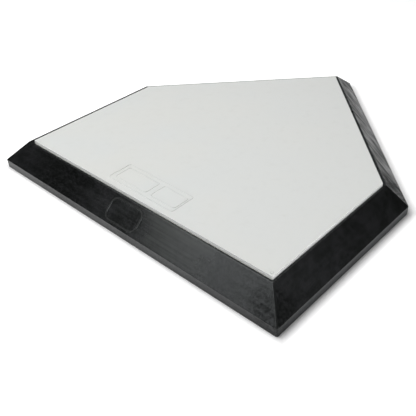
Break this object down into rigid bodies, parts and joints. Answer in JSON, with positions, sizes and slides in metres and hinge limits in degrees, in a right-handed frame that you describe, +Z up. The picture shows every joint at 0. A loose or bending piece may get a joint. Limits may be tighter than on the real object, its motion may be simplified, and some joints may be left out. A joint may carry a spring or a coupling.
{
  "type": "home plate",
  "caption": "Five-sided home plate: a white rubber face slab set proud in a black rubber body with bevelled edges, on a screwed plywood core.",
  "frame": {"origin": "centre of the plate's bounding rectangle, on the ground under the base", "axes": "+Z up out of the white face, +Y from the front edge towards the apex, +X along the front edge to the right"},
  "size_m": [0.4958, 0.5078, 0.0413],
  "materials": {
    "white_rubber": "matt moulded white rubber",
    "black_rubber": "satin moulded black rubber",
    "plywood": "sealed exterior plywood",
    "zinc_steel": "zinc-plated steel"
  },
  "bodies": {
    "root": {"white_face_slab": "white_rubber", "black_bevel_body": "black_rubber", "plywood_core": "plywood", "tee_nut_01": "zinc_steel", "tee_nut_02": "zinc_steel", "tee_nut_03": "zinc_steel", "tee_nut_04": "zinc_steel", "tee_nut_05": "zinc_steel", "tee_nut_06": "zinc_steel", "tee_nut_07": "zinc_steel", "tee_nut_08": "zinc_steel", "tee_nut_09": "zinc_steel", "tee_nut_10": "zinc_steel", "tee_nut_11": "zinc_steel", "core_screw_01": "zinc_steel", "core_screw_02": "zinc_steel", "core_screw_03": "zinc_steel", "core_screw_04": "zinc_steel", "core_screw_05": "zinc_steel", "core_screw_06": "zinc_steel", "core_screw_07": "zinc_steel", "core_screw_08": "zinc_steel", "core_screw_09": "zinc_steel", "core_screw_10": "zinc_steel", "core_screw_11": "zinc_steel"}
  },
  "joints": []
}
